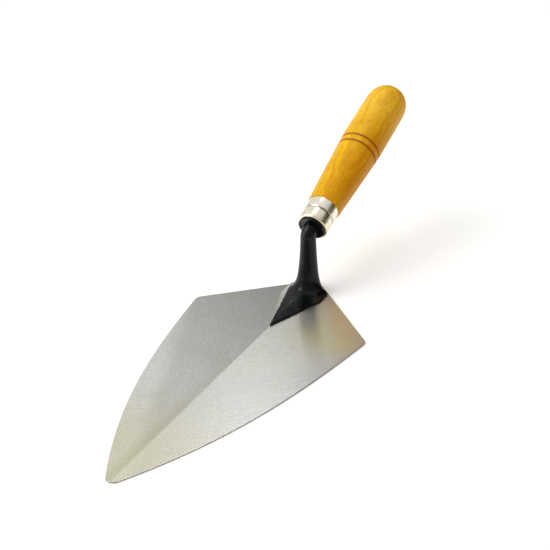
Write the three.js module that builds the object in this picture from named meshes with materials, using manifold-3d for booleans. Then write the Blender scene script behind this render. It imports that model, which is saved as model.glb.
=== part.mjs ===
// Brick trowel, as an assembly: a ground steel blade, a forged shank whose foot is welded down on it, and a
// turned wooden handle that is driven onto the shank's tang through a washer and a plated ferrule.
// Millimetres, +Z up. +X runs from the handle to the blade's point, and the trowel is symmetric about Y = 0,
// but for its foot. The blade's flat sole lies on Z = 0, and the origin is the middle of the footprint.
import * as THREE from "three";
import { mergeVertices } from "three/addons/utils/BufferGeometryUtils.js";
import Module from "manifold-3d";

const wasm = await Module();
wasm.setup();

// ---- Driving dimensions. Until the trowel is centred at the end, X is measured from the heel's apex. ----

const GAP = 0.3; // left between neighbouring solids

const BLADE = {
  length: 250, // heel apex to the rounded point
  width: 128.6, // across the heel corners
  cornerX: 57.4, // how far forward of the apex the corners lie
  cornerRadius: 5.5,
  sideAngleAtCorner: 8.7, // degrees that the sides already turn in at the corners
  tipRadius: 5.1,
  tipHalfAngle: 30.5, // degrees
  apexThickness: 2, // of the ground ridge, at the heel
  ridgeFall: 0.004, // lost per millimetre towards the point
  flankFall: 0.012, // lost per millimetre from the ridge to either edge
};

const HANDLE = {
  mouthX: 8.8, // where its axis leaves the ferrule
  mouthZ: 47.5,
  rise: 21.4, // degrees from the blade's plane
  length: 141.4, // ferrule mouth to butt
  frontRadius: 11.8, // of the wood against the ferrule
  bellyRadius: 15.5, // the thickest of the grip
  bellyAt: 86,
  domeRadius: 15.4, // where the rounded butt begins
  domeAt: 114.8,
  tenonRadius: 10,
  boreRadius: 4.8,
  boreDepth: 98,
};

const RINGS = { at: [73, 78.8], depth: 0.45, halfWidth: 0.7 }; // the two scored lines on the grip

const FERRULE = {
  length: 18.6,
  radius: 11.2,
  wall: 0.8,
  lipRadius: 8.4, // the mouth's edge is turned in to this
  crimpAt: 9.7, // the middle of the groove that grips the wood
  crimpHalfWidth: 0.9,
  crimpDepth: 0.35,
};

const WASHER = { radius: 9.4, thickness: 1.6, bore: 4.6, edge: 0.4 };

const SHANK = {
  neckX: 14.3, // axis of the upright neck
  neckRadius: 5.75,
  flareTop: 32, // the neck widens below this into the foot
  flareHollow: 29.4, // square millimetres: the product of height above the foot and reach from the neck
  footPoint: 69.2, // the foot's point, along the blade's ridge
  footHalfWidth: { left: 15.4, right: 13.9 }, // it is set a little to the left of the ridge
  footShoulderX: 27.7, // where the foot stops widening
  footHeelInset: 1.2, // from the foot to the blade's heel edges
  footEdge: 1.3, // thickness of the foot's rim
  bendRadius: 5.5,
  bendSectionRadius: 5.4, // of the neck where it turns back into the handle
  tangLength: 90,
  tangHalfSide: 3.2, // next to the washer
  tangEndHalfSide: 1.6,
};

// ---- Materials ----

const blackEnamel = () => new THREE.MeshStandardMaterial({ color: 0x141417, roughness: 0.35, metalness: 0 });
const groundSteel = () => new THREE.MeshStandardMaterial({ color: 0xc9c8c4, roughness: 0.32, metalness: 1 });
const platedSteel = () => new THREE.MeshStandardMaterial({ color: 0xd9d6cc, roughness: 0.22, metalness: 1 });
const varnishedWood = () => new THREE.MeshStandardMaterial({ color: 0xd69a2d, roughness: 0.4, metalness: 0 });

// ---- Helpers ----

const radians = THREE.MathUtils.degToRad;

// A named part of the trowel.
function part(name, geometry, material) {
  const mesh = new THREE.Mesh(geometry, material);
  mesh.name = name;
  return mesh;
}

// A closed three.js geometry as a manifold solid.
function solidOf(geometry) {
  const bare = geometry.clone().deleteAttribute("normal").deleteAttribute("uv");
  const merged = mergeVertices(bare, 1e-4);
  const vertProperties = new Float32Array(merged.attributes.position.array);
  const triVerts = new Uint32Array(merged.index.array);
  return new wasm.Manifold(new wasm.Mesh({ numProp: 3, vertProperties, triVerts }));
}

// A manifold solid as a three.js geometry.
function geometryOf(solid) {
  const mesh = solid.getMesh();
  const geometry = new THREE.BufferGeometry();
  geometry.setAttribute("position", new THREE.BufferAttribute(mesh.vertProperties, 3));
  geometry.setIndex(new THREE.BufferAttribute(mesh.triVerts, 1));
  geometry.computeVertexNormals();
  return geometry;
}

// A closed solid through rings of points. Every ring has the same number of points and runs anticlockwise
// about the way the loft travels. The ends are fans from startCentre and endCentre.
function loft(rings, startCentre, endCentre) {
  const count = rings[0].length;
  const points = [...rings.flat(), startCentre, endCentre];
  const last = (rings.length - 1) * count;
  const faces = [];
  for (let ring = 0; ring < rings.length - 1; ring++) {
    for (let i = 0; i < count; i++) {
      const a = ring * count + i;
      const b = ring * count + ((i + 1) % count);
      faces.push(a, b, b + count, a, b + count, a + count);
    }
  }
  for (let i = 0; i < count; i++) {
    const next = (i + 1) % count;
    faces.push(points.length - 2, next, i, points.length - 1, last + i, last + next);
  }
  const geometry = new THREE.BufferGeometry().setFromPoints(points);
  geometry.setIndex(faces);
  geometry.computeVertexNormals();
  return geometry;
}

// ---- Blade ----

// Height of the blade's ground upper face: a low roof that falls from the ridge to the edges and the point.
function roof(x, y) {
  return BLADE.apexThickness - BLADE.ridgeFall * x - BLADE.flankFall * Math.abs(y);
}

// Outline of the blade's left half, from the heel's apex round the corner and down the side to the point.
function halfOutline() {
  const { length, width, cornerX, cornerRadius, tipRadius } = BLADE;
  const corner = new THREE.Vector2(cornerX, width / 2);
  const alongHeel = corner.clone().normalize();
  const sideAngle = radians(BLADE.sideAngleAtCorner);
  const alongSide = new THREE.Vector2(Math.cos(sideAngle), -Math.sin(sideAngle));
  // from the corner to either end of its arc
  const setback = cornerRadius * Math.tan((alongHeel.angle() + sideAngle) / 2);
  const arcStart = corner.clone().addScaledVector(alongHeel, -setback);
  const arcEnd = corner.clone().addScaledVector(alongSide, setback);
  const startAngle = alongHeel.angle() + Math.PI / 2; // the arc's radius is square to the heel here
  const arcCentre = new THREE.Vector2(Math.sin(alongHeel.angle()), -Math.cos(alongHeel.angle()))
    .multiplyScalar(cornerRadius)
    .add(arcStart);

  const tipAngle = radians(BLADE.tipHalfAngle);
  const fromTip = new THREE.Vector2(-Math.cos(tipAngle), Math.sin(tipAngle));
  const tipStart = new THREE.Vector2(Math.sin(tipAngle), Math.cos(tipAngle))
    .multiplyScalar(tipRadius)
    .add(new THREE.Vector2(length - tipRadius, 0));
  const third = (tipStart.x - arcEnd.x) / 3;
  const nearCorner = arcEnd.clone().addScaledVector(alongSide, third / alongSide.x);
  const nearTip = tipStart.clone().addScaledVector(fromTip, third / -fromTip.x);

  const shape = new THREE.Shape();
  shape.moveTo(0, 0);
  shape.lineTo(arcStart.x, arcStart.y);
  shape.absarc(arcCentre.x, arcCentre.y, cornerRadius, startAngle, Math.PI / 2 - sideAngle, true);
  shape.bezierCurveTo(nearCorner.x, nearCorner.y, nearTip.x, nearTip.y, tipStart.x, tipStart.y);
  shape.absarc(length - tipRadius, 0, tipRadius, Math.PI / 2 - tipAngle, 0, true);
  shape.closePath();
  return shape;
}

// The blade's left half: its outline raised to the roof.
function leftHalf() {
  const options = { depth: 1, bevelEnabled: false, curveSegments: 20 };
  const geometry = new THREE.ExtrudeGeometry(halfOutline(), options);
  const position = geometry.attributes.position;
  for (let i = 0; i < position.count; i++) {
    if (position.getZ(i) > 0.5) position.setZ(i, roof(position.getX(i), position.getY(i)));
  }
  return geometry;
}

// A geometry reflected in Y = 0, with its triangles turned to face out again.
function reflected(geometry) {
  const copy = geometry.clone().scale(1, -1, 1);
  const position = copy.attributes.position;
  for (let i = 0; i < position.count; i += 3) {
    position.copyAt(i + 1, geometry.attributes.position, i + 2);
    position.copyAt(i + 2, geometry.attributes.position, i + 1);
    position.setY(i + 1, -position.getY(i + 1));
    position.setY(i + 2, -position.getY(i + 2));
  }
  return copy;
}

function blade() {
  const half = leftHalf();
  return part("blade", geometryOf(solidOf(half).add(solidOf(reflected(half)))), groundSteel());
}

// ---- Shank: foot, neck and tang, forged in one ----

const handleTilt = radians(90 - HANDLE.rise); // how far the handle's axis leans back from upright
const mouth = new THREE.Vector3(HANDLE.mouthX, 0, HANDLE.mouthZ);

// Directions of a section that leans back by an angle: the way it faces, and the front of its outline.
const axisOf = (lean) => new THREE.Vector3(-Math.sin(lean), 0, Math.cos(lean));
const frontOf = (lean) => new THREE.Vector3(Math.cos(lean), 0, Math.sin(lean));

// The foot's outline on the blade, seen from the neck's axis: one side of it, from the point to the heel.
function footSide(halfWidth) {
  const heelSlope = BLADE.cornerX / (BLADE.width / 2);
  const heelX = SHANK.footHeelInset * Math.hypot(1, heelSlope);
  return [
    new THREE.Vector2(SHANK.footPoint, 0),
    new THREE.Vector2(SHANK.footShoulderX, halfWidth),
    new THREE.Vector2(heelX + heelSlope * halfWidth, halfWidth),
    new THREE.Vector2(heelX, 0),
  ].map((corner) => corner.sub(new THREE.Vector2(SHANK.neckX, 0)));
}

const footLeft = footSide(SHANK.footHalfWidth.left);
const footRight = footSide(SHANK.footHalfWidth.right);

// The outline's reach from the neck's axis at an angle from the front. Its left side is the first half turn.
function footRadius(angle) {
  const corners = angle <= Math.PI ? footLeft : footRight;
  const turned = Math.min(angle, 2 * Math.PI - angle);
  const next = Math.max(
    corners.findIndex((corner) => corner.angle() > turned - 1e-9),
    1,
  );
  const from = corners[next - 1];
  const edge = corners[next].clone().sub(from);
  const ray = new THREE.Vector2(Math.cos(turned), Math.sin(turned));
  return from.cross(edge) / ray.cross(edge);
}

// Section angles along one side of the foot, with one at each of its corners.
function sideAngles(corners) {
  const steps = [8, 4, 8];
  return steps.flatMap((count, i) => {
    const from = corners[i].angle();
    const to = corners[i + 1].angle();
    return Array.from({ length: count }, (_, k) => from + ((to - from) * k) / count);
  });
}

// Anticlockwise from the front.
const ANGLES = [
  ...sideAngles(footLeft),
  Math.PI,
  ...sideAngles(footRight).slice(1).reverse().map((angle) => 2 * Math.PI - angle),
];

// One ring of the shank's loft: radiusAt gives the outline's distance from centre at each angle.
function section(centre, lean, radiusAt) {
  return ANGLES.map((angle) =>
    centre
      .clone()
      .addScaledVector(frontOf(lean), radiusAt(angle) * Math.cos(angle))
      .add(new THREE.Vector3(0, radiusAt(angle) * Math.sin(angle), 0)),
  );
}

const round = (radius) => () => radius;

// A square with rounded corners.
const square = (halfSide) => (angle) =>
  halfSide / (Math.abs(Math.cos(angle)) ** 8 + Math.abs(Math.sin(angle)) ** 8) ** (1 / 8);

// The foot's flanks rise to the neck in a hollow curve: height times reach stays the same, less what is left
// over at the foot's rim and at the top.
function footRings() {
  const base = new THREE.Vector3(SHANK.neckX, 0, 0);
  const onBlade = section(base, 0, footRadius);
  onBlade.forEach((point) => point.setZ(roof(point.x, point.y) + GAP));
  const rim = onBlade.map((point) => point.clone().setZ(point.z + SHANK.footEdge));
  const rings = [onBlade, rim];
  const rise = SHANK.flareTop - rim[0].z;
  const steps = 12;
  for (let i = 1; i <= steps; i++) {
    const climb = (i / steps) ** 2.2; // closer together near the blade, where the flanks turn fastest
    const reach = (angle, share) =>
      1 / ((share * rise) / SHANK.flareHollow + 1 / (footRadius(angle) - SHANK.neckRadius));
    const radiusAt = (angle) => SHANK.neckRadius + reach(angle, climb) - climb * reach(angle, 1);
    const ring = section(base, 0, radiusAt);
    ring.forEach((point, k) => point.setZ(THREE.MathUtils.lerp(rim[k].z, SHANK.flareTop, climb)));
    rings.push(ring);
  }
  return rings;
}

// The upright neck turns back, on an arc, into the handle's axis, and narrows a little as it does.
function bendRings() {
  const axisZAtNeck = HANDLE.mouthZ - (SHANK.neckX - HANDLE.mouthX) * Math.tan(radians(HANDLE.rise));
  const startZ = axisZAtNeck - SHANK.bendRadius * Math.tan(handleTilt / 2);
  const centre = new THREE.Vector3(SHANK.neckX - SHANK.bendRadius, 0, startZ);
  const steps = 8;
  return Array.from({ length: steps + 1 }, (_, i) => {
    const lean = (handleTilt * i) / steps;
    const narrowed = Math.min((2 * i) / steps, 1);
    const radius = THREE.MathUtils.lerp(SHANK.neckRadius, SHANK.bendSectionRadius, narrowed);
    return section(centre.clone().addScaledVector(frontOf(lean), SHANK.bendRadius), lean, round(radius));
  });
}

// The tang, on the handle's axis, from the shoulder that the washer sits against. Distances run from the
// ferrule's mouth towards the butt.
function tangRings() {
  const shoulder = -WASHER.thickness - 2 * GAP;
  const stations = [
    [shoulder, round(SHANK.bendSectionRadius)],
    [shoulder, square(SHANK.tangHalfSide)],
    [SHANK.tangLength - 6, square(SHANK.tangEndHalfSide)],
    [SHANK.tangLength, square(SHANK.tangEndHalfSide * 0.4)],
  ];
  return stations.map(([along, radiusAt]) =>
    section(mouth.clone().addScaledVector(axisOf(handleTilt), along), handleTilt, radiusAt),
  );
}

function shank() {
  const footCentre = new THREE.Vector3(SHANK.neckX, 0, roof(SHANK.neckX, 0) + GAP);
  const tangEnd = mouth.clone().addScaledVector(axisOf(handleTilt), SHANK.tangLength);
  const rings = [...footRings(), ...bendRings(), ...tangRings()];
  return part("shank", loft(rings, footCentre, tangEnd), blackEnamel());
}

// ---- Pieces turned about the handle's axis: their profiles are (radius, distance from the mouth) ----

const LATHE_SEGMENTS = 48;
const lathe = (profile) =>
  new THREE.LatheGeometry(
    profile.map(([radius, along]) => new THREE.Vector2(radius, along)),
    LATHE_SEGMENTS,
  );

const gripStart = FERRULE.length + GAP;

// Radius of the grip: it swells to the belly, keeps its thickness, and ends in a rounded butt.
function gripRadius(along) {
  if (along <= HANDLE.bellyAt) {
    const left = (HANDLE.bellyAt - along) / (HANDLE.bellyAt - gripStart);
    return HANDLE.bellyRadius - (HANDLE.bellyRadius - HANDLE.frontRadius) * left ** 1.2;
  }
  if (along <= HANDLE.domeAt) {
    const share = (along - HANDLE.bellyAt) / (HANDLE.domeAt - HANDLE.bellyAt);
    return THREE.MathUtils.lerp(HANDLE.bellyRadius, HANDLE.domeRadius, share ** 2);
  }
  const share = (along - HANDLE.domeAt) / (HANDLE.length - HANDLE.domeAt);
  return HANDLE.domeRadius * Math.sqrt(1 - share ** 4);
}

function gripProfile() {
  const stations = [];
  for (let i = 0; i <= 16; i++) stations.push(THREE.MathUtils.lerp(gripStart + 0.5, HANDLE.domeAt, i / 16));
  for (let i = 1; i < 10; i++) {
    stations.push(THREE.MathUtils.lerp(HANDLE.domeAt, HANDLE.length, Math.sin((Math.PI / 2) * (i / 10))));
  }
  const clear = (along) => RINGS.at.every((ring) => Math.abs(along - ring) > 2 * RINGS.halfWidth);
  const smooth = stations.filter(clear).map((along) => [gripRadius(along), along]);
  const scored = RINGS.at.flatMap((ring) => [
    [gripRadius(ring - RINGS.halfWidth), ring - RINGS.halfWidth],
    [gripRadius(ring) - RINGS.depth, ring],
    [gripRadius(ring + RINGS.halfWidth), ring + RINGS.halfWidth],
  ]);
  return [...smooth, ...scored].sort((a, b) => a[1] - b[1]);
}

function handle() {
  const tenonFront = FERRULE.wall + GAP;
  return part(
    "handle",
    lathe([
      [0, HANDLE.boreDepth],
      [HANDLE.boreRadius, HANDLE.boreDepth - 2],
      [HANDLE.boreRadius, tenonFront],
      [HANDLE.tenonRadius - 0.6, tenonFront],
      [HANDLE.tenonRadius, tenonFront + 0.6],
      [HANDLE.tenonRadius, gripStart],
      [HANDLE.frontRadius - 0.4, gripStart],
      ...gripProfile(),
      [0, HANDLE.length],
    ]),
    varnishedWood(),
  );
}

// A short drawn tube: its mouth is turned in over the tenon, and a crimped groove grips the wood.
function ferrule() {
  const { length, radius, wall, lipRadius, crimpAt, crimpHalfWidth, crimpDepth } = FERRULE;
  const inner = radius - wall;
  const crimp = [-1, -0.5, 0, 0.5, 1].map((share) => [
    radius - crimpDepth * Math.cos((Math.PI / 2) * share),
    crimpAt + crimpHalfWidth * share,
  ]);
  return part(
    "ferrule",
    lathe([
      [inner, wall],
      [lipRadius, wall],
      [lipRadius, 0],
      [radius - 0.9, 0],
      [radius - 0.35, 0.2],
      [radius, 0.8],
      ...crimp,
      [radius, length - 0.4],
      [radius - 0.3, length],
      [inner, length],
      [inner, wall],
    ]),
    platedSteel(),
  );
}

// The washer between the shank's shoulder and the ferrule's mouth.
function washer() {
  const { radius, thickness, bore, edge } = WASHER;
  const back = -GAP;
  const front = back - thickness;
  return part(
    "washer",
    lathe([
      [bore, front],
      [radius - edge, front],
      [radius, front + edge],
      [radius, back - edge],
      [radius - edge, back],
      [bore, back],
      [bore, front],
    ]),
    blackEnamel(),
  );
}

// ---- Assembly ----

const grip = new THREE.Group();
grip.position.copy(mouth);
grip.quaternion.setFromUnitVectors(new THREE.Vector3(0, 1, 0), axisOf(handleTilt));
grip.add(washer(), ferrule(), handle());

const trowel = new THREE.Group();
trowel.add(blade(), shank(), grip);

const box = new THREE.Box3().setFromObject(trowel, true);
trowel.position.x = -(box.min.x + box.max.x) / 2;

export default trowel;
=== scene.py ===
"""Looks of the brick trowel.

It has a ground blade, an enamelled shank and washer, a plated ferrule and a varnished handle. Lengths are
millimetres unless a name says otherwise. X is measured from the blade's heel, towards its point. The pieces
turned about the handle's axis are measured from the ferrule's mouth, towards the butt. Left is +Y, as seen
from the handle.
"""

import math

import bmesh
import bpy
from mathutils import Matrix, Vector


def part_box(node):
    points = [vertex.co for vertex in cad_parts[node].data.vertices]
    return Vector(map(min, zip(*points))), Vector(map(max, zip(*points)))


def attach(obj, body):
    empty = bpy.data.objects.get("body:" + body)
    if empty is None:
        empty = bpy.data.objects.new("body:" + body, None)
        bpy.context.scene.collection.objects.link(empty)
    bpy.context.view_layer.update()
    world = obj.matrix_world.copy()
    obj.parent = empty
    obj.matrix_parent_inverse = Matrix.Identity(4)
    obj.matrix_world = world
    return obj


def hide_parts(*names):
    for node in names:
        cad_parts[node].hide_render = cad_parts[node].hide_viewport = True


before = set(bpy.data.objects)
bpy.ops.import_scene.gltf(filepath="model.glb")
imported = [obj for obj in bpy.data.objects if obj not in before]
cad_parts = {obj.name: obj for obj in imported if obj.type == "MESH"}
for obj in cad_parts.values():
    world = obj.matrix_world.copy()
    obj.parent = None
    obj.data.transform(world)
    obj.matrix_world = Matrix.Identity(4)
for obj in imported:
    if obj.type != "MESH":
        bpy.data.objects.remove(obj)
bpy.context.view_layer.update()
MM = 0.001

# ---- Driving dimensions ----

HEEL = Vector((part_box("blade")[0].x, 0, 0)) / MM
BLADE_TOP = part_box("blade")[1].z / MM  # of the ridge, at the heel
RIDGE_FALL = 0.004  # lost per millimetre towards the point
FLANK_FALL = 0.012  # lost per millimetre from the ridge to either edge
BRUSHING_ANGLE = 45  # degrees from the ridge, of the grinding lines on either flank
HEEL_CORNER = (57.4, 64.3)  # X and Y where the heel's edge and the side would meet, were it not rounded
INSIDE_X = 120  # of a point on the ridge, well inside the blade's outline

# Yellowish tints, each given by its middle, the reach of the full and of the faintest tint, and its
# strength. The one by the heel is a painted reflection of the handle's underside; the one towards the point
# is a yellower tone there.
HEEL_REFLECTION = (Vector((56, 44, 0)), 12, 44, 0.95)
POINT_TINT = (Vector((243, -26, 0)), 22, 98, 0.62)
RIDGE_SHADE_ALONG = (110, 190)  # X where the painted shade on the ridge's right starts, and where it is full
RIDGE_SHADE_WIDTH = 10
RIDGE_SHADE_STRENGTH = 0.32
MARGIN_SLOPE = 0.4  # of the strip of painted highlight along the blade's right edge
MARGIN = (-98, -83)  # Y less that slope times X, where the strip is full and where it ends

RISE = math.radians(21.4)  # of the handle's axis
GRIP_AXIS = Vector((-math.cos(RISE), 0, math.sin(RISE)))
GRIP_LENGTH = 141.4

NECK_X = 14.3
NECK_RADIUS = 5.75
BEND_RADIUS = 5.5
BEND_SECTION_RADIUS = 5.4
NECK_END_GAP = 0.3  # from the end of the neck's full thickness to the washer
TANG_RADIUS = 5
FLARE_TOP = 32
FLARE_HOLLOW = 29.4  # square millimetres: height above the foot times reach from the neck
FOOT_POINT = 69.2
FOOT_SHOULDER_X = 27.7
FOOT_HALF_WIDTHS = (15.4, 13.9)  # left and right
FOOT_HEEL_INSET = 1.2
FOOT_EDGE = 1.4
FOOT_GAP = 0.02  # the foot's underside over the blade
PAINT_HALF_WIDTH = 13.2  # from the crest to the paint's edge on the foot's right side, beside the neck
PAINT_TAPER = 0.24  # by which it narrows, per millimetre towards the point

WASHER_RADIUS = 9.4
WASHER_THICKNESS = 1.6
WASHER_BORE = 5.5

FERRULE_LENGTH = 18.6
FERRULE_RADIUS = 11.2
FERRULE_WALL = 0.8
FERRULE_LIP_RADIUS = 8.4
MOUTH_TURN_RADIUS = 1  # of the rounded corner round the mouth
CRIMP_AT = 9.7
CRIMP_HALF_WIDTH = 1.1
CRIMP_DEPTH = 0.4

GRIP_GAP = 0.05  # between the ferrule's end and the grip
GRIP_EDGE = 0.5  # radius of the grip's rounded front edge
FRONT_RADIUS = 11.8
BELLY_RADIUS = 15.45
BELLY_AT = 86
DOME_RADIUS = 15.35
DOME_AT = 114.8
RINGS_AT = (73, 78.8)
RING_DEPTH = 0.45
RING_HALF_WIDTH = 0.7


def grip_mouth():
    """The middle of the ferrule's mouth: a handle's length down its axis from the butt."""
    corners = [vertex.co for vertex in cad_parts["handle"].data.vertices]
    butt = max(corners, key=GRIP_AXIS.dot)
    return Vector((butt.x, 0, butt.z)) / MM - GRIP_AXIS * GRIP_LENGTH


MOUTH = grip_mouth()
SIDE = Vector((0, 1, 0))
GRIP_FRAME = Matrix((SIDE.cross(GRIP_AXIS), SIDE, GRIP_AXIS)).transposed()  # its Z lies along the handle


# ---- Node materials ----


def node(tree, kind, inputs=None, **settings):
    """A shader node with its settings. Each input takes a number, a colour or another node's output."""
    made = tree.nodes.new("ShaderNode" + kind)
    for name, value in settings.items():
        setattr(made, name, value)
    for name, value in (inputs or {}).items():
        if isinstance(value, bpy.types.NodeSocket):
            tree.links.new(value, made.inputs[name])
        else:
            made.inputs[name].default_value = value
    return made


def material(name, **settings):
    """A material with a Principled shader whose uniform settings are given by socket name."""
    made = bpy.data.materials.new(name)
    made.use_nodes = True
    shader = made.node_tree.nodes["Principled BSDF"]
    for socket, value in settings.items():
        shader.inputs[socket.replace("_", " ")].default_value = value
    return made, made.node_tree, shader


def srgb(red, green, blue):
    """A linear colour from 0-255 display values."""
    linear = [
        value / 12.92 if value <= 0.04045 else ((value + 0.055) / 1.055) ** 2.4
        for value in (red / 255, green / 255, blue / 255)
    ]
    return (*linear, 1)


def feed(tree, shader, **sources):
    """Links outputs to the shader's sockets, which are given by name."""
    for socket, source in sources.items():
        tree.links.new(source, shader.inputs[socket.replace("_", " ")])


def ramp(tree, factor, *stops):
    """A colour ramp's output, from (position, colour) stops."""
    made = node(tree, "ValToRGB", {"Fac": factor})
    elements = made.color_ramp.elements
    while len(elements) < len(stops):
        elements.new(0.5)
    for element, (position, colour) in zip(elements, stops):
        element.position = position
        element.color = colour
    return made.outputs["Color"]


def stretched(tree, coordinates, per_metre, angle=0):
    """Coordinates turned about Z by an angle in degrees and multiplied along each axis."""
    turned = node(tree, "Mapping", {"Vector": coordinates, "Rotation": (0, 0, math.radians(angle))})
    return node(tree, "Mapping", {"Vector": turned.outputs["Vector"], "Scale": per_metre}).outputs["Vector"]


def noise(tree, vector, detail, scale=1, roughness=0.5):
    """A noise texture's value."""
    settings = {"Vector": vector, "Scale": scale, "Detail": detail, "Roughness": roughness}
    return node(tree, "TexNoise", settings).outputs["Fac"]


def spread(tree, value, low, high, to_low=0, to_high=1):
    """A value taken smoothly from one range to another, held at the ends."""
    settings = {"Value": value, "From Min": low, "From Max": high, "To Min": to_low, "To Max": to_high}
    return node(tree, "MapRange", settings, interpolation_type="SMOOTHSTEP").outputs["Result"]


def calculate(tree, operation, a, b=0.0, c=0.0):
    """The result of a Math node."""
    return node(tree, "Math", {0: a, 1: b, 2: c}, operation=operation).outputs[0]


def blend(tree, factor, a, b):
    """Two colours mixed by a factor: the first at 0, the second at 1."""
    first, second = 6, 7  # the Mix node's colour inputs
    return node(tree, "Mix", {0: factor, first: a, second: b}, data_type="RGBA").outputs[2]


def bump(tree, height, strength, depth, normal=None):
    """A normal raised by a height, over another normal if one is given."""
    inputs = {"Height": height, "Strength": strength, "Distance": depth * MM}
    if normal is not None:
        inputs["Normal"] = normal
    return node(tree, "Bump", inputs).outputs["Normal"]


def object_coordinates(tree):
    """Place in the trowel's frame, in metres."""
    return node(tree, "TexCoord").outputs["Object"]


def grip_coordinates(tree):
    """Place in the grip's own frame: from the ferrule's mouth, with Z along the handle."""
    turn = GRIP_FRAME.to_euler()
    inputs = {"Vector": object_coordinates(tree), "Location": MOUTH * MM, "Rotation": turn}
    return node(tree, "Mapping", inputs, vector_type="TEXTURE").outputs["Vector"]


def near(tree, place, middle, inner, outer, most):
    """A value of most within a distance of a point measured from the heel, fading to 0 at another."""
    settings = {0: place, 1: (HEEL + middle) * MM}
    away = node(tree, "VectorMath", settings, operation="DISTANCE").outputs["Value"]
    return spread(tree, away, inner * MM, outer * MM, most, 0)


def from_heel(tree, place):
    """X from the heel, and Y, of a place in metres."""
    axes = node(tree, "SeparateXYZ", {"Vector": place}).outputs
    return calculate(tree, "SUBTRACT", axes["X"], HEEL.x * MM), axes["Y"]


def painted_edge_highlight(tree, place):
    """How strong the painted highlight is on the strip along the blade's right edge."""
    along, across = from_heel(tree, place)
    slant = calculate(tree, "MULTIPLY_ADD", along, -MARGIN_SLOPE, across)
    return spread(tree, slant, MARGIN[0] * MM, MARGIN[1] * MM, 0.9, 0)


def painted_ridge_shade(tree, place):
    """How strong the painted shade is on the strip beside the ridge, on its right: a darker, yellowish
    band.
    """
    along, across = from_heel(tree, place)
    start, full = RIDGE_SHADE_ALONG
    strip = spread(tree, across, -RIDGE_SHADE_WIDTH * MM, -1.5 * MM)
    strip = calculate(tree, "MULTIPLY", strip, spread(tree, across, 0, 1.2 * MM, 1, 0))
    strength = spread(tree, along, start * MM, full * MM, 0, RIDGE_SHADE_STRENGTH)
    return calculate(tree, "MULTIPLY", strip, strength)


def ground_steel(name, angle):
    """Satin ground steel, with grinding lines at an angle in degrees from X. Painted on it: a highlight
    along the right edge, shade beside the ridge and a reflection of the handle by the heel.
    """
    made, tree, shader = material(name, Metallic=1, Anisotropic=0.9)
    place = object_coordinates(tree)
    lines = noise(tree, stretched(tree, place, (110, 2400, 1), -angle), detail=3, roughness=0.8)
    bands = noise(tree, stretched(tree, place, (18, 420, 1), -angle), detail=3, roughness=0.6)
    grit = noise(tree, place, scale=850, detail=3, roughness=0.8)
    clouds = noise(tree, place, scale=26, detail=4, roughness=0.6)
    scratches = noise(tree, stretched(tree, place, (14, 3200, 1), 9 - angle), detail=2)
    # Painted reflection of the handle's underside: a yellowish olive patch by the heel's left corner, a
    # little rougher.
    heel_reflection = near(tree, place, *HEEL_REFLECTION)
    heel_reflection = calculate(tree, "MULTIPLY", heel_reflection, spread(tree, clouds, 0.2, 0.7, 0.5, 0.9))

    tone = ramp(tree, bands, (0.3, srgb(233, 232, 227)), (0.7, srgb(240, 239, 234)))
    tone = blend(tree, spread(tree, lines, 0.35, 0.7, 0, 0.55), tone, srgb(204, 203, 197))
    # Painted highlight: a brighter strip along the right edge.
    tone = blend(tree, painted_edge_highlight(tree, place), tone, srgb(255, 254, 248))
    tone = blend(tree, near(tree, place, *POINT_TINT), tone, srgb(238, 233, 190))
    # Painted shade: a darker, yellowish band beside the ridge.
    tone = blend(tree, painted_ridge_shade(tree, place), tone, srgb(192, 186, 138))
    tone = blend(tree, spread(tree, clouds, 0.5, 0.8, 0, 0.3), tone, srgb(210, 205, 186))
    tone = blend(tree, spread(tree, grit, 0.42, 0.72, 0, 0.45), tone, srgb(188, 186, 176))
    # The painted reflection of the handle, by the heel.
    tone = blend(tree, heel_reflection, tone, srgb(196, 189, 147))

    rough = spread(tree, lines, 0.3, 0.7, 0.19, 0.21)
    rough = calculate(tree, "ADD", rough, spread(tree, clouds, 0.45, 0.75, 0, 0.02))
    rough = calculate(tree, "MULTIPLY_ADD", heel_reflection, 0.06, rough)

    skin = bump(tree, lines, 0.05, 0.002)
    skin = bump(tree, grit, 0.2, 0.002, skin)
    skin = bump(tree, spread(tree, scratches, 0.68, 0.74), 0.06, 0.002, skin)
    skin = bump(tree, clouds, 0.06, 0.03, skin)
    across = node(tree, "Tangent", direction_type="UV_MAP", uv_map="across_grinding").outputs["Tangent"]
    feed(tree, shader, Base_Color=tone, Roughness=rough, Normal=skin, Tangent=across)
    return made


def cut_edge():
    """The blade's sheared and dressed edge: darker steel, with short lines square to the plate."""
    made, tree, shader = material("blade_cut_edge", Metallic=1)
    place = object_coordinates(tree)
    lines = noise(tree, stretched(tree, place, (1400, 1400, 120)), detail=3)
    patches = noise(tree, place, scale=60, detail=3)
    tone = ramp(tree, lines, (0.3, srgb(120, 116, 110)), (0.7, srgb(176, 172, 164)))
    tone = blend(tree, spread(tree, patches, 0.5, 0.8, 0, 0.5), tone, srgb(112, 98, 80))
    rough = spread(tree, patches, 0.3, 0.7, 0.32, 0.5)
    feed(tree, shader, Base_Color=tone, Roughness=rough, Normal=bump(tree, lines, 0.4, 0.03))
    return made


def dressed_weld(tree, place):
    """1 on the strip of bare steel along the foot's right side, ground back after painting."""
    along, across = from_heel(tree, place)
    from_neck = calculate(tree, "SUBTRACT", along, NECK_X * MM)
    paint_edge = calculate(tree, "MULTIPLY_ADD", from_neck, -PAINT_TAPER, PAINT_HALF_WIDTH * MM)
    beyond = calculate(tree, "SUBTRACT", calculate(tree, "MULTIPLY", across, -1), paint_edge)
    ragged = noise(tree, place, scale=500, detail=2)
    beyond = calculate(tree, "ADD", beyond, spread(tree, ragged, 0, 1, -0.6 * MM, 0.6 * MM))
    return spread(tree, beyond, -0.2 * MM, 0.3 * MM)


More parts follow.
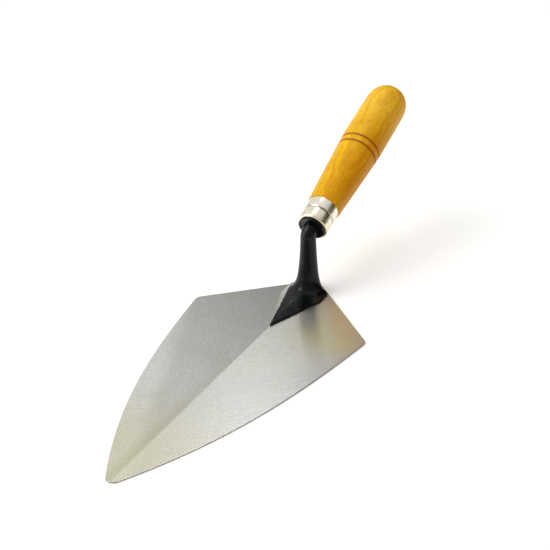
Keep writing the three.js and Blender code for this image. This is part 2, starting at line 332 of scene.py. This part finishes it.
def painted_crest_highlight(tree, place):
    """1 on broken streaks beside the foot's crest: painted highlight, in light grey."""
    across = from_heel(tree, place)[1]
    off_line = calculate(tree, "ABSOLUTE", calculate(tree, "ADD", across, 1.6 * MM))
    beside = spread(tree, off_line, 0.3 * MM, 1.6 * MM, 1, 0)
    streaks = noise(tree, stretched(tree, place, (90, 900, 90)), detail=3, roughness=0.7)
    return calculate(tree, "MULTIPLY", beside, spread(tree, streaks, 0.5, 0.66))


def black_enamel(name, foot=False):
    """Dipped gloss black, with orange peel, dust and thin places, and on the foot bare steel and painted
    highlight streaks beside the crest.
    """
    made, tree, shader = material(name, Specular_IOR_Level=0.2)
    place = object_coordinates(tree)
    peel = noise(tree, place, scale=420, detail=2)
    runs = noise(tree, stretched(tree, place, (160, 160, 50)), detail=2)
    dust = noise(tree, place, scale=2400, detail=2, roughness=0.7)
    wear = noise(tree, place, scale=240, detail=4, roughness=0.7)
    tone = ramp(tree, runs, (0.3, srgb(5, 8, 10)), (0.75, srgb(11, 16, 19)))
    tone = blend(tree, spread(tree, wear, 0.66, 0.76, 0, 0.4), tone, srgb(60, 57, 54))
    tone = blend(tree, spread(tree, dust, 0.7, 0.8, 0, 0.3), tone, srgb(120, 116, 108))
    rough = spread(tree, wear, 0.35, 0.75, 0.14, 0.3)
    if foot:
        # Painted highlight: light grey streaks beside the crest.
        crest_highlight = calculate(tree, "MULTIPLY", painted_crest_highlight(tree, place), 0.7)
        bare = dressed_weld(tree, place)
        tone = blend(tree, crest_highlight, tone, srgb(132, 130, 126))
        tone = blend(tree, bare, tone, srgb(206, 204, 196))
        rough = calculate(tree, "MULTIPLY_ADD", bare, 0.15, rough)
        feed(tree, shader, Metallic=bare)
    skin = bump(tree, peel, 0.25, 0.05, bump(tree, runs, 0.5, 0.3))
    feed(tree, shader, Base_Color=tone, Roughness=rough, Normal=skin)
    return made


def plated_steel():
    """Bright nickel plate over drawn steel, with faint lines, pinpricks and tarnish in the groove."""
    made, tree, shader = material("nickel_plate", Metallic=1)
    place = grip_coordinates(tree)
    height = node(tree, "SeparateXYZ", {"Vector": place}).outputs["Z"]
    lines = noise(tree, stretched(tree, place, (300, 300, 30)), detail=3)
    clouds = noise(tree, place, scale=110, detail=4, roughness=0.6)
    pits = noise(tree, place, scale=1500, detail=2)
    tone = ramp(tree, clouds, (0.3, srgb(246, 238, 214)), (0.7, srgb(254, 249, 236)))
    from_crimp = calculate(tree, "ABSOLUTE", calculate(tree, "SUBTRACT", height, CRIMP_AT * MM))
    groove = spread(tree, from_crimp, 0.4 * MM, 1.2 * MM, 0.55, 0)
    tone = blend(tree, groove, tone, srgb(150, 130, 96))
    low = spread(tree, height, 0, CRIMP_AT * MM, 0.35, 0)
    tone = blend(tree, low, tone, srgb(232, 214, 160))
    rough = spread(tree, clouds, 0.3, 0.75, 0.16, 0.32)
    skin = bump(tree, lines, 0.25, 0.02)
    skin = bump(tree, spread(tree, pits, 0.66, 0.76), 0.3, 0.02, skin)
    skin = bump(tree, clouds, 0.3, 0.12, skin)
    feed(tree, shader, Base_Color=tone, Roughness=rough, Normal=skin)
    return made


def near_rings(tree, height, inner, outer, most):
    """A value of most in the scored rings, fading to 0 between two distances from their middles."""
    away = [calculate(tree, "ABSOLUTE", calculate(tree, "SUBTRACT", height, at * MM)) for at in RINGS_AT]
    return spread(tree, calculate(tree, "MINIMUM", *away), inner * MM, outer * MM, most, 0)


def growth_rings(tree, place):
    """Growth rings about the tree's heart, which lies beside the grip and not quite along it."""
    heart = {"Vector": place, "Location": (0.035, 0.02, 0), "Rotation": (0.05, 0.03, 0)}
    settings = {
        "Vector": node(tree, "Mapping", heart).outputs["Vector"],
        "Scale": 130,
        "Distortion": 5,
        "Detail": 3,
        "Detail Scale": 0.35,
        "Detail Roughness": 0.6,
    }
    return node(tree, "TexWave", settings, wave_type="RINGS", rings_direction="Z").outputs["Fac"]


def varnished_wood():
    """Straight-grained hardwood under yellow varnish, scorched in the scored rings. Painted shade darkens
    its left side, and painted light makes it paler towards the butt.
    """
    gloss = {"Specular_IOR_Level": 0.1, "Coat_Weight": 0.03, "Coat_Roughness": 0.25}
    made, tree, shader = material("varnished_wood", **gloss)
    place = grip_coordinates(tree)
    axes = node(tree, "SeparateXYZ", {"Vector": place}).outputs
    height = axes["Z"]
    figure = growth_rings(tree, place)
    fibres = noise(tree, stretched(tree, place, (1500, 1500, 45)), detail=4, roughness=0.65)
    streaks = noise(tree, stretched(tree, place, (260, 260, 14)), detail=3, roughness=0.6)
    mottle = noise(tree, stretched(tree, place, (60, 60, 32)), detail=3, roughness=0.55)
    flecks = noise(tree, stretched(tree, place, (620, 620, 150)), detail=1)
    pores = noise(tree, stretched(tree, place, (2400, 2400, 130)), detail=1)
    tone = ramp(
        tree,
        mottle,
        (0.3, srgb(226, 166, 8)),
        (0.52, srgb(234, 184, 14)),
        (0.75, srgb(243, 205, 38)),
    )
    # Painted shade: darker orange on the grip's left side, away from the key light.
    tone = blend(tree, spread(tree, axes["Y"], -5 * MM, 13 * MM, 0, 0.5), tone, srgb(216, 122, 2))
    # Painted light: paler yellow towards the butt, where the grip's top faces the light.
    tone = blend(tree, spread(tree, height, 78 * MM, 116 * MM, 0, 0.55), tone, srgb(255, 207, 62))
    tone = blend(tree, spread(tree, figure, 0.2, 0.9, 0, 0.26), tone, srgb(204, 116, 6))
    tone = blend(tree, spread(tree, streaks, 0.52, 0.75, 0, 0.4), tone, srgb(200, 108, 4))
    tone = blend(tree, spread(tree, fibres, 0.5, 0.8, 0, 0.35), tone, srgb(194, 104, 6))
    tone = blend(tree, spread(tree, flecks, 0.58, 0.68, 0, 0.4), tone, srgb(198, 108, 4))
    tone = blend(tree, spread(tree, pores, 0.66, 0.76, 0, 0.5), tone, srgb(140, 74, 10))
    tone = blend(tree, near_rings(tree, height, 0.6, 2.3, 0.45), tone, srgb(190, 92, 14))
    tone = blend(tree, near_rings(tree, height, 0.3, 1, 0.8), tone, srgb(152, 70, 8))
    rough = spread(tree, fibres, 0.3, 0.8, 0.34, 0.5)
    skin = bump(tree, fibres, 0.3, 0.03)
    skin = bump(tree, streaks, 0.25, 0.08, skin)
    skin = bump(tree, mottle, 0.2, 0.25, skin)
    feed(tree, shader, Base_Color=tone, Roughness=rough, Normal=skin)
    return made


# ---- Meshes ----


def make_piece(name, points, faces, materials, bevel, sharp_degrees=40):
    """A smooth-shaded object from points in millimetres, with its corners rounded."""
    mesh = bpy.data.meshes.new(name)
    mesh.from_pydata([point * MM for point in points], [], faces)
    shell = bmesh.new()
    shell.from_mesh(mesh)
    bmesh.ops.recalc_face_normals(shell, faces=shell.faces)
    shell.to_mesh(mesh)
    shell.free()
    mesh.shade_smooth()
    mesh.set_sharp_from_angle(angle=math.radians(sharp_degrees))
    for each in materials:
        mesh.materials.append(each)
    made = bpy.data.objects.new(name, mesh)
    bpy.context.scene.collection.objects.link(made)
    rounding = made.modifiers.new("rounding", "BEVEL")
    rounding.width = bevel * MM
    rounding.segments = 3
    rounding.limit_method = "ANGLE"
    rounding.angle_limit = math.radians(sharp_degrees)
    rounding.harden_normals = True
    return made


def install(piece, node_name):
    """Fixes a piece to the trowel in its CAD node's stead."""
    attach(piece, "root")
    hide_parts(node_name)


# ---- Blade ----


def roof(x, y):
    """Height of the blade's ground upper face."""
    return BLADE_TOP - RIDGE_FALL * x - FLANK_FALL * abs(y)


def sole_outline():
    """The blade's outline, anticlockwise from the heel's apex, as points on the sole."""
    corners = {
        (round(vertex.co.x / MM - HEEL.x, 3), round(vertex.co.y / MM, 3))
        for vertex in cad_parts["blade"].data.vertices
        if vertex.co.z < 0.1 * MM
    }
    turned = sorted(corners, key=lambda corner: math.atan2(corner[1], corner[0] - INSIDE_X))
    points = [Vector((x, y, 0)) for x, y in turned]
    apex = min(range(len(points)), key=lambda i: points[i].x)
    return points[apex:] + points[:apex]


def lay_grinding_uv(mesh):
    """UVs whose U runs across the grinding lines: one direction for either flank, and one for the sole."""
    layer = mesh.uv_layers.new(name="across_grinding")
    for face in mesh.polygons:
        angle = math.radians(face_grinding(face) + 90)
        u_axis = Vector((math.cos(angle), math.sin(angle), 0))
        v_axis = Vector((-math.sin(angle), math.cos(angle), 0))
        for corner in face.loop_indices:
            place = mesh.vertices[mesh.loops[corner].vertex_index].co
            layer.data[corner].uv = (u_axis.dot(place), v_axis.dot(place))


def face_grinding(face):
    """Angle of the grinding lines on a face of the blade, in degrees from the ridge."""
    if face.normal.z < 0.5:
        return 0
    return -BRUSHING_ANGLE if face.center.y > 0 else BRUSHING_ANGLE


def make_blade():
    outline = sole_outline()
    count = len(outline)
    tip = max(range(count), key=lambda i: outline[i].x)
    top = [Vector((point.x, point.y, roof(point.x, point.y))) for point in outline]
    right = list(range(count, count + tip + 1))
    left = list(range(count + tip, 2 * count)) + [count]
    walls = [[i, (i + 1) % count, count + (i + 1) % count, count + i] for i in range(count)]
    faces = [list(range(count)), right, left, *walls]
    materials = [
        ground_steel("blade_sole", 0),
        ground_steel("blade_left_flank", -BRUSHING_ANGLE),
        ground_steel("blade_right_flank", BRUSHING_ANGLE),
        cut_edge(),
    ]
    points = [HEEL + point for point in outline + top]
    piece = make_piece("blade_ground", points, faces, materials, bevel=0.3)
    for face in piece.data.polygons:
        face.material_index = blade_material(face)
    lay_grinding_uv(piece.data)
    install(piece, "blade")


def blade_material(face):
    """Index of a face's material: of the sole, the left flank, the right flank or the cut edge."""
    if abs(face.normal.z) < 0.5:
        return 3
    if face.normal.z < 0:
        return 0
    return 1 if face.center.y > 0 else 2


# ---- Shank ----


def polar(point):
    """Angle of a plan point about the neck's axis, from 0 to a full turn."""
    return math.atan2(point.y, point.x) % (2 * math.pi)


def foot_side(half_width):
    """Corners of one side of the foot's outline, about the neck's axis, from its point to the heel."""
    slope = HEEL_CORNER[0] / HEEL_CORNER[1]
    heel_x = FOOT_HEEL_INSET * math.hypot(1, slope)
    corners = [
        (FOOT_POINT, 0),
        (FOOT_SHOULDER_X, half_width),
        (heel_x + slope * half_width, half_width),
        (heel_x, 0),
    ]
    return [Vector((x - NECK_X, y)) for x, y in corners]


FOOT_LEFT, FOOT_RIGHT = (foot_side(width) for width in FOOT_HALF_WIDTHS)


def foot_radius(angle):
    """The outline's distance from the neck's axis. The left side is the first half turn."""
    corners = FOOT_LEFT if angle <= math.pi else FOOT_RIGHT
    turned = min(angle, 2 * math.pi - angle)
    further = [i for i, corner in enumerate(corners) if i and polar(corner) > turned - 1e-9]
    last = further[0] if further else 3
    start, edge = corners[last - 1], corners[last] - corners[last - 1]
    ray = Vector((math.cos(turned), math.sin(turned)))
    return start.cross(edge) / ray.cross(edge)


def side_angles(corners):
    """Section angles along one side of the foot, with one at each of its corners."""
    found = []
    for start, end, count in zip(corners, corners[1:], (20, 8, 16)):
        first, last = polar(start), polar(end)
        found += [first + (last - first) * i / count for i in range(count)]
    return found


ANGLES = side_angles(FOOT_LEFT) + [math.pi]
ANGLES += [2 * math.pi - angle for angle in reversed(side_angles(FOOT_RIGHT)[1:])]


def section(centre, lean, radius_at):
    """One ring of the shank about a centre. It leans back from upright by an angle."""
    front = Vector((math.cos(lean), 0, math.sin(lean)))
    side = Vector((0, 1, 0))
    return [
        centre + radius_at(angle) * (math.cos(angle) * front + math.sin(angle) * side)
        for angle in ANGLES
    ]


def foot_rings():
    """The foot: its rim on the blade, then flanks that rise to the neck in a hollow curve."""
    base = Vector((NECK_X, 0, 0))
    on_blade = section(base, 0, foot_radius)
    for point in on_blade:
        point.z = roof(point.x, point.y) + FOOT_GAP
    rim = [point + Vector((0, 0, FOOT_EDGE)) for point in on_blade]
    rings = [on_blade, rim]
    rise = FLARE_TOP - rim[0].z
    steps = 40
    for i in range(1, steps + 1):
        climb = (i / steps) ** 2.2  # the rings lie closer together near the blade
        ring = section(base, 0, lambda angle: flare_radius(angle, climb, rise))
        for point, below in zip(ring, rim):
            point.z = below.z + (FLARE_TOP - below.z) * climb
        rings.append(ring)
    return rings


def flare_radius(angle, climb, rise):
    """The flank's distance from the neck's axis, at a share of the way up it."""

    def reach(share):
        return 1 / (share * rise / FLARE_HOLLOW + 1 / (foot_radius(angle) - NECK_RADIUS))

    return NECK_RADIUS + reach(climb) - climb * reach(1)


def bend_rings():
    """The upright neck turning back, on an arc, into the handle's axis."""
    tilt = math.pi / 2 - RISE
    mouth = MOUTH - HEEL
    axis_height = mouth.z - (NECK_X - mouth.x) * math.tan(RISE)
    start = axis_height - BEND_RADIUS * math.tan(tilt / 2)
    centre = Vector((NECK_X - BEND_RADIUS, 0, start))
    steps = 24
    rings = []
    for i in range(steps + 1):
        lean = tilt * i / steps
        front = Vector((math.cos(lean), 0, math.sin(lean)))
        rings.append(section(centre + BEND_RADIUS * front, lean, lambda angle: BEND_SECTION_RADIUS))
    return rings


def shoulder_rings():
    """The end of the neck against the washer, and a short length of the tang inside it."""
    tilt = math.pi / 2 - RISE
    mouth = MOUTH - HEEL
    neck_end = -WASHER_THICKNESS - NECK_END_GAP
    stations = ((neck_end, BEND_SECTION_RADIUS), (FERRULE_WALL, TANG_RADIUS))
    return [section(mouth + GRIP_AXIS * along, tilt, lambda angle: radius) for along, radius in stations]


def make_shank():
    rings = foot_rings() + bend_rings() + shoulder_rings()
    count = len(ANGLES)
    points = [HEEL + point for ring in rings for point in ring]
    faces = [list(range(count)), list(range(len(points) - count, len(points)))]
    for ring in range(len(rings) - 1):
        for i in range(count):
            a = ring * count + i
            b = ring * count + (i + 1) % count
            faces.append([a, b, b + count, a + count])
    enamel = [black_enamel("shank_enamel", foot=True)]
    piece = make_piece("shank_enamelled", points, faces, enamel, bevel=0.3, sharp_degrees=50)
    install(piece, "shank")


# ---- Pieces turned about the handle's axis ----


def lathe(name, profile, materials, bevel, sharp_degrees=40):
    """A surface turned about Z through (radius, distance) points. A radius of 0 closes an end."""
    steps = 128
    points, faces, rings = [], [], []
    for radius, along in profile:
        if radius == 0:
            rings.append([len(points)] * steps)
            points.append(Vector((0, 0, along)))
            continue
        rings.append(list(range(len(points), len(points) + steps)))
        turns = [2 * math.pi * i / steps for i in range(steps)]
        points += [Vector((radius * math.cos(turn), radius * math.sin(turn), along)) for turn in turns]
    for lower, upper in zip(rings, rings[1:]):
        for i in range(steps):
            j = (i + 1) % steps
            corners = [lower[i], lower[j], upper[j], upper[i]]
            faces.append(list(dict.fromkeys(corners)))
    points = [MOUTH + GRIP_FRAME @ point for point in points]
    return make_piece(name, points, faces, materials, bevel, sharp_degrees)


def make_washer():
    front = -WASHER_THICKNESS
    profile = [
        (WASHER_BORE, front),
        (WASHER_RADIUS, front),
        (WASHER_RADIUS, 0),
        (WASHER_BORE, 0),
        (WASHER_BORE, front),
    ]
    piece = lathe("washer_enamelled", profile, [black_enamel("washer_enamel")], bevel=0.35)
    install(piece, "washer")


def make_ferrule():
    inner = FERRULE_RADIUS - FERRULE_WALL
    crimp = [
        (
            FERRULE_RADIUS - CRIMP_DEPTH * (1 + math.cos(math.pi * share)) / 2,
            CRIMP_AT + CRIMP_HALF_WIDTH * share,
        )
        for share in [i / 6 for i in range(-6, 7)]
    ]
    mouth_turn = [
        (
            FERRULE_RADIUS - MOUTH_TURN_RADIUS * (1 - math.sin(turn)),
            MOUTH_TURN_RADIUS * (1 - math.cos(turn)),
        )
        for turn in [math.pi / 2 * i / 6 for i in range(7)]
    ]
    profile = [
        (inner, FERRULE_WALL),
        (FERRULE_LIP_RADIUS, FERRULE_WALL),
        (FERRULE_LIP_RADIUS, 0),
        *mouth_turn,
        *crimp,
        (FERRULE_RADIUS, FERRULE_LENGTH),
        (inner, FERRULE_LENGTH),
        (inner, FERRULE_WALL),
    ]
    piece = lathe("ferrule_plated", profile, [plated_steel()], bevel=0.2)
    install(piece, "ferrule")


def grip_radius(along):
    """Radius of the grip: it swells to the belly, keeps its thickness, and ends in a rounded butt."""
    if along <= BELLY_AT:
        left = (BELLY_AT - along) / (BELLY_AT - FERRULE_LENGTH)
        return BELLY_RADIUS - (BELLY_RADIUS - FRONT_RADIUS) * left**1.2
    if along <= DOME_AT:
        share = (along - BELLY_AT) / (DOME_AT - BELLY_AT)
        return BELLY_RADIUS + (DOME_RADIUS - BELLY_RADIUS) * share**2
    share = (along - DOME_AT) / (GRIP_LENGTH - DOME_AT)
    return DOME_RADIUS * math.sqrt(1 - share**4)


def ring_depth(along):
    """How deep the scored rings cut at a distance along the grip."""
    nearest = min(abs(along - at) for at in RINGS_AT)
    if nearest >= RING_HALF_WIDTH:
        return 0
    return RING_DEPTH * (1 + math.cos(math.pi * nearest / RING_HALF_WIDTH)) / 2


def make_handle():
    front = FERRULE_LENGTH + GRIP_GAP
    side = front + GRIP_EDGE + 0.1  # the first station past the rounded front edge
    side_steps, dome_steps = 360, 60
    dome = GRIP_LENGTH - DOME_AT
    stations = [front] + [side + (DOME_AT - side) * i / side_steps for i in range(side_steps)]
    stations += [DOME_AT + dome * math.sin(math.pi / 2 * i / dome_steps) for i in range(dome_steps)]
    grip = [(grip_radius(along) - ring_depth(along), along) for along in stations]
    profile = [(0, front), *grip, (0, GRIP_LENGTH)]
    piece = lathe("handle_turned", profile, [varnished_wood()], bevel=GRIP_EDGE, sharp_degrees=60)
    install(piece, "handle")


# ---- Room ----

VIEW_AZIMUTH = 29.42  # of the camera, in degrees from +X towards +Y
VIEW_ELEVATION = 29.11
VIEW_ROLL = math.radians(-1.19)
VIEW_DISTANCE = 819.7
VIEW_TARGET = HEEL + Vector((36.99, -13.22, 20.49))
LENS = 79.4
LENS_SHIFT = (-0.0009, 0.0009)

SKY = (0.76, 0.77, 0.78, 1)
SKY_PATCHES = (  # azimuth, elevation and the reach of the full and the faintest tint, in degrees; colour
    (184.5, 51.5, 13.3, 20, (1.1, 1.1, 1.1, 1)),  # bright, high behind the handle
    (207.6, 21.3, 7.5, 13.5, (0.33, 0.33, 0.29, 1)),  # grey, low behind the handle's right side
    (55, 5, 35, 80, (0.36, 0.34, 0.3, 1)),  # dim and wide, low beyond the point and to the left
    (118, 5, 22, 36, (0.09, 0.07, 0.01, 1)),  # brown, low on the left
    (168.2, 18.1, 35, 41, (0.025, 0.024, 0.012, 1)),  # nearly black, low behind the handle
)


def towards(azimuth, elevation):
    """Unit vector at an azimuth from +X towards +Y and an elevation, both in degrees."""
    a, e = math.radians(azimuth), math.radians(elevation)
    return Vector((math.cos(a) * math.cos(e), math.sin(a) * math.cos(e), math.sin(e)))


def make_camera():
    back = towards(VIEW_AZIMUTH, VIEW_ELEVATION)
    right = Vector((0, 0, 1)).cross(back).normalized()
    up = back.cross(right)
    camera = bpy.data.objects.new("camera", bpy.data.cameras.new("camera"))
    bpy.context.scene.collection.objects.link(camera)
    upright = Matrix((right, up, back)).transposed()
    turned = upright @ Matrix.Rotation(VIEW_ROLL, 3, "Z")
    camera.matrix_world = Matrix.Translation((VIEW_TARGET + back * VIEW_DISTANCE) * MM) @ turned.to_4x4()
    camera.data.lens = LENS
    camera.data.clip_start = 0.01
    camera.data.shift_x, camera.data.shift_y = LENS_SHIFT
    bpy.context.scene.camera = camera


def softbox(name, azimuth, elevation, distance, size, power):
    """A square light, in metres and watts, aimed at the middle of the view."""
    light = bpy.data.lights.new(name, "AREA")
    light.size = size
    light.energy = power
    holder = bpy.data.objects.new(name, light)
    bpy.context.scene.collection.objects.link(holder)
    back = towards(azimuth, elevation)
    middle = VIEW_TARGET * MM
    turn = (-back).to_track_quat("-Z", "Y")
    holder.matrix_world = Matrix.Translation(middle + back * distance) @ turn.to_matrix().to_4x4()


def patch(tree, direction, azimuth, elevation, inner, outer):
    """1 within an angle of a direction in the sky, fading to 0 at another, in degrees."""
    middle = towards(azimuth, elevation)
    match = node(tree, "VectorMath", {0: direction, 1: middle}, operation="DOT_PRODUCT").outputs["Value"]
    return spread(tree, match, math.cos(math.radians(outer)), math.cos(math.radians(inner)))


def make_world():
    """A pale sky with one bright patch and four dim ones, for the metal to mirror."""
    world = bpy.data.worlds.new("studio")
    bpy.context.scene.world = world
    world.use_nodes = True
    tree = world.node_tree
    direction = node(tree, "TexCoord").outputs["Generated"]
    sky = SKY
    for *place, colour in SKY_PATCHES:
        sky = blend(tree, patch(tree, direction, *place), sky, colour)
    tree.links.new(sky, tree.nodes["Background"].inputs["Color"])


def make_floor():
    """White paper that reaches the horizon. It glows a little, so that shadows stay pale."""
    mesh = bpy.data.meshes.new("floor")
    reach = 40
    corners = [(-reach, -reach, 0), (reach, -reach, 0), (reach, reach, 0), (-reach, reach, 0)]
    mesh.from_pydata(corners, [], [(0, 1, 2, 3)])
    floor = bpy.data.objects.new("floor", mesh)
    bpy.context.scene.collection.objects.link(floor)
    floor.location.z = -0.05 * MM
    glow = {"Emission_Color": (1, 1, 1, 1), "Emission_Strength": 0.22}
    made, tree, shader = material("pale_paper", Roughness=0.9, **glow)
    fibres = noise(tree, object_coordinates(tree), scale=500, detail=3)
    tone = ramp(tree, fibres, (0.3, (0.93, 0.93, 0.93, 1)), (0.7, (0.95, 0.95, 0.95, 1)))
    feed(tree, shader, Base_Color=tone)
    mesh.materials.append(made)


def make_room():
    bpy.context.scene.view_settings.view_transform = "Standard"
    make_camera()
    make_world()
    make_floor()
    softbox("key_right", azimuth=-55, elevation=52, distance=1.6, size=1, power=12)
    softbox("top_back", azimuth=195, elevation=65, distance=1.6, size=0.4, power=2.5)


make_room()
make_blade()
make_shank()
make_washer()
make_ferrule()
make_handle()
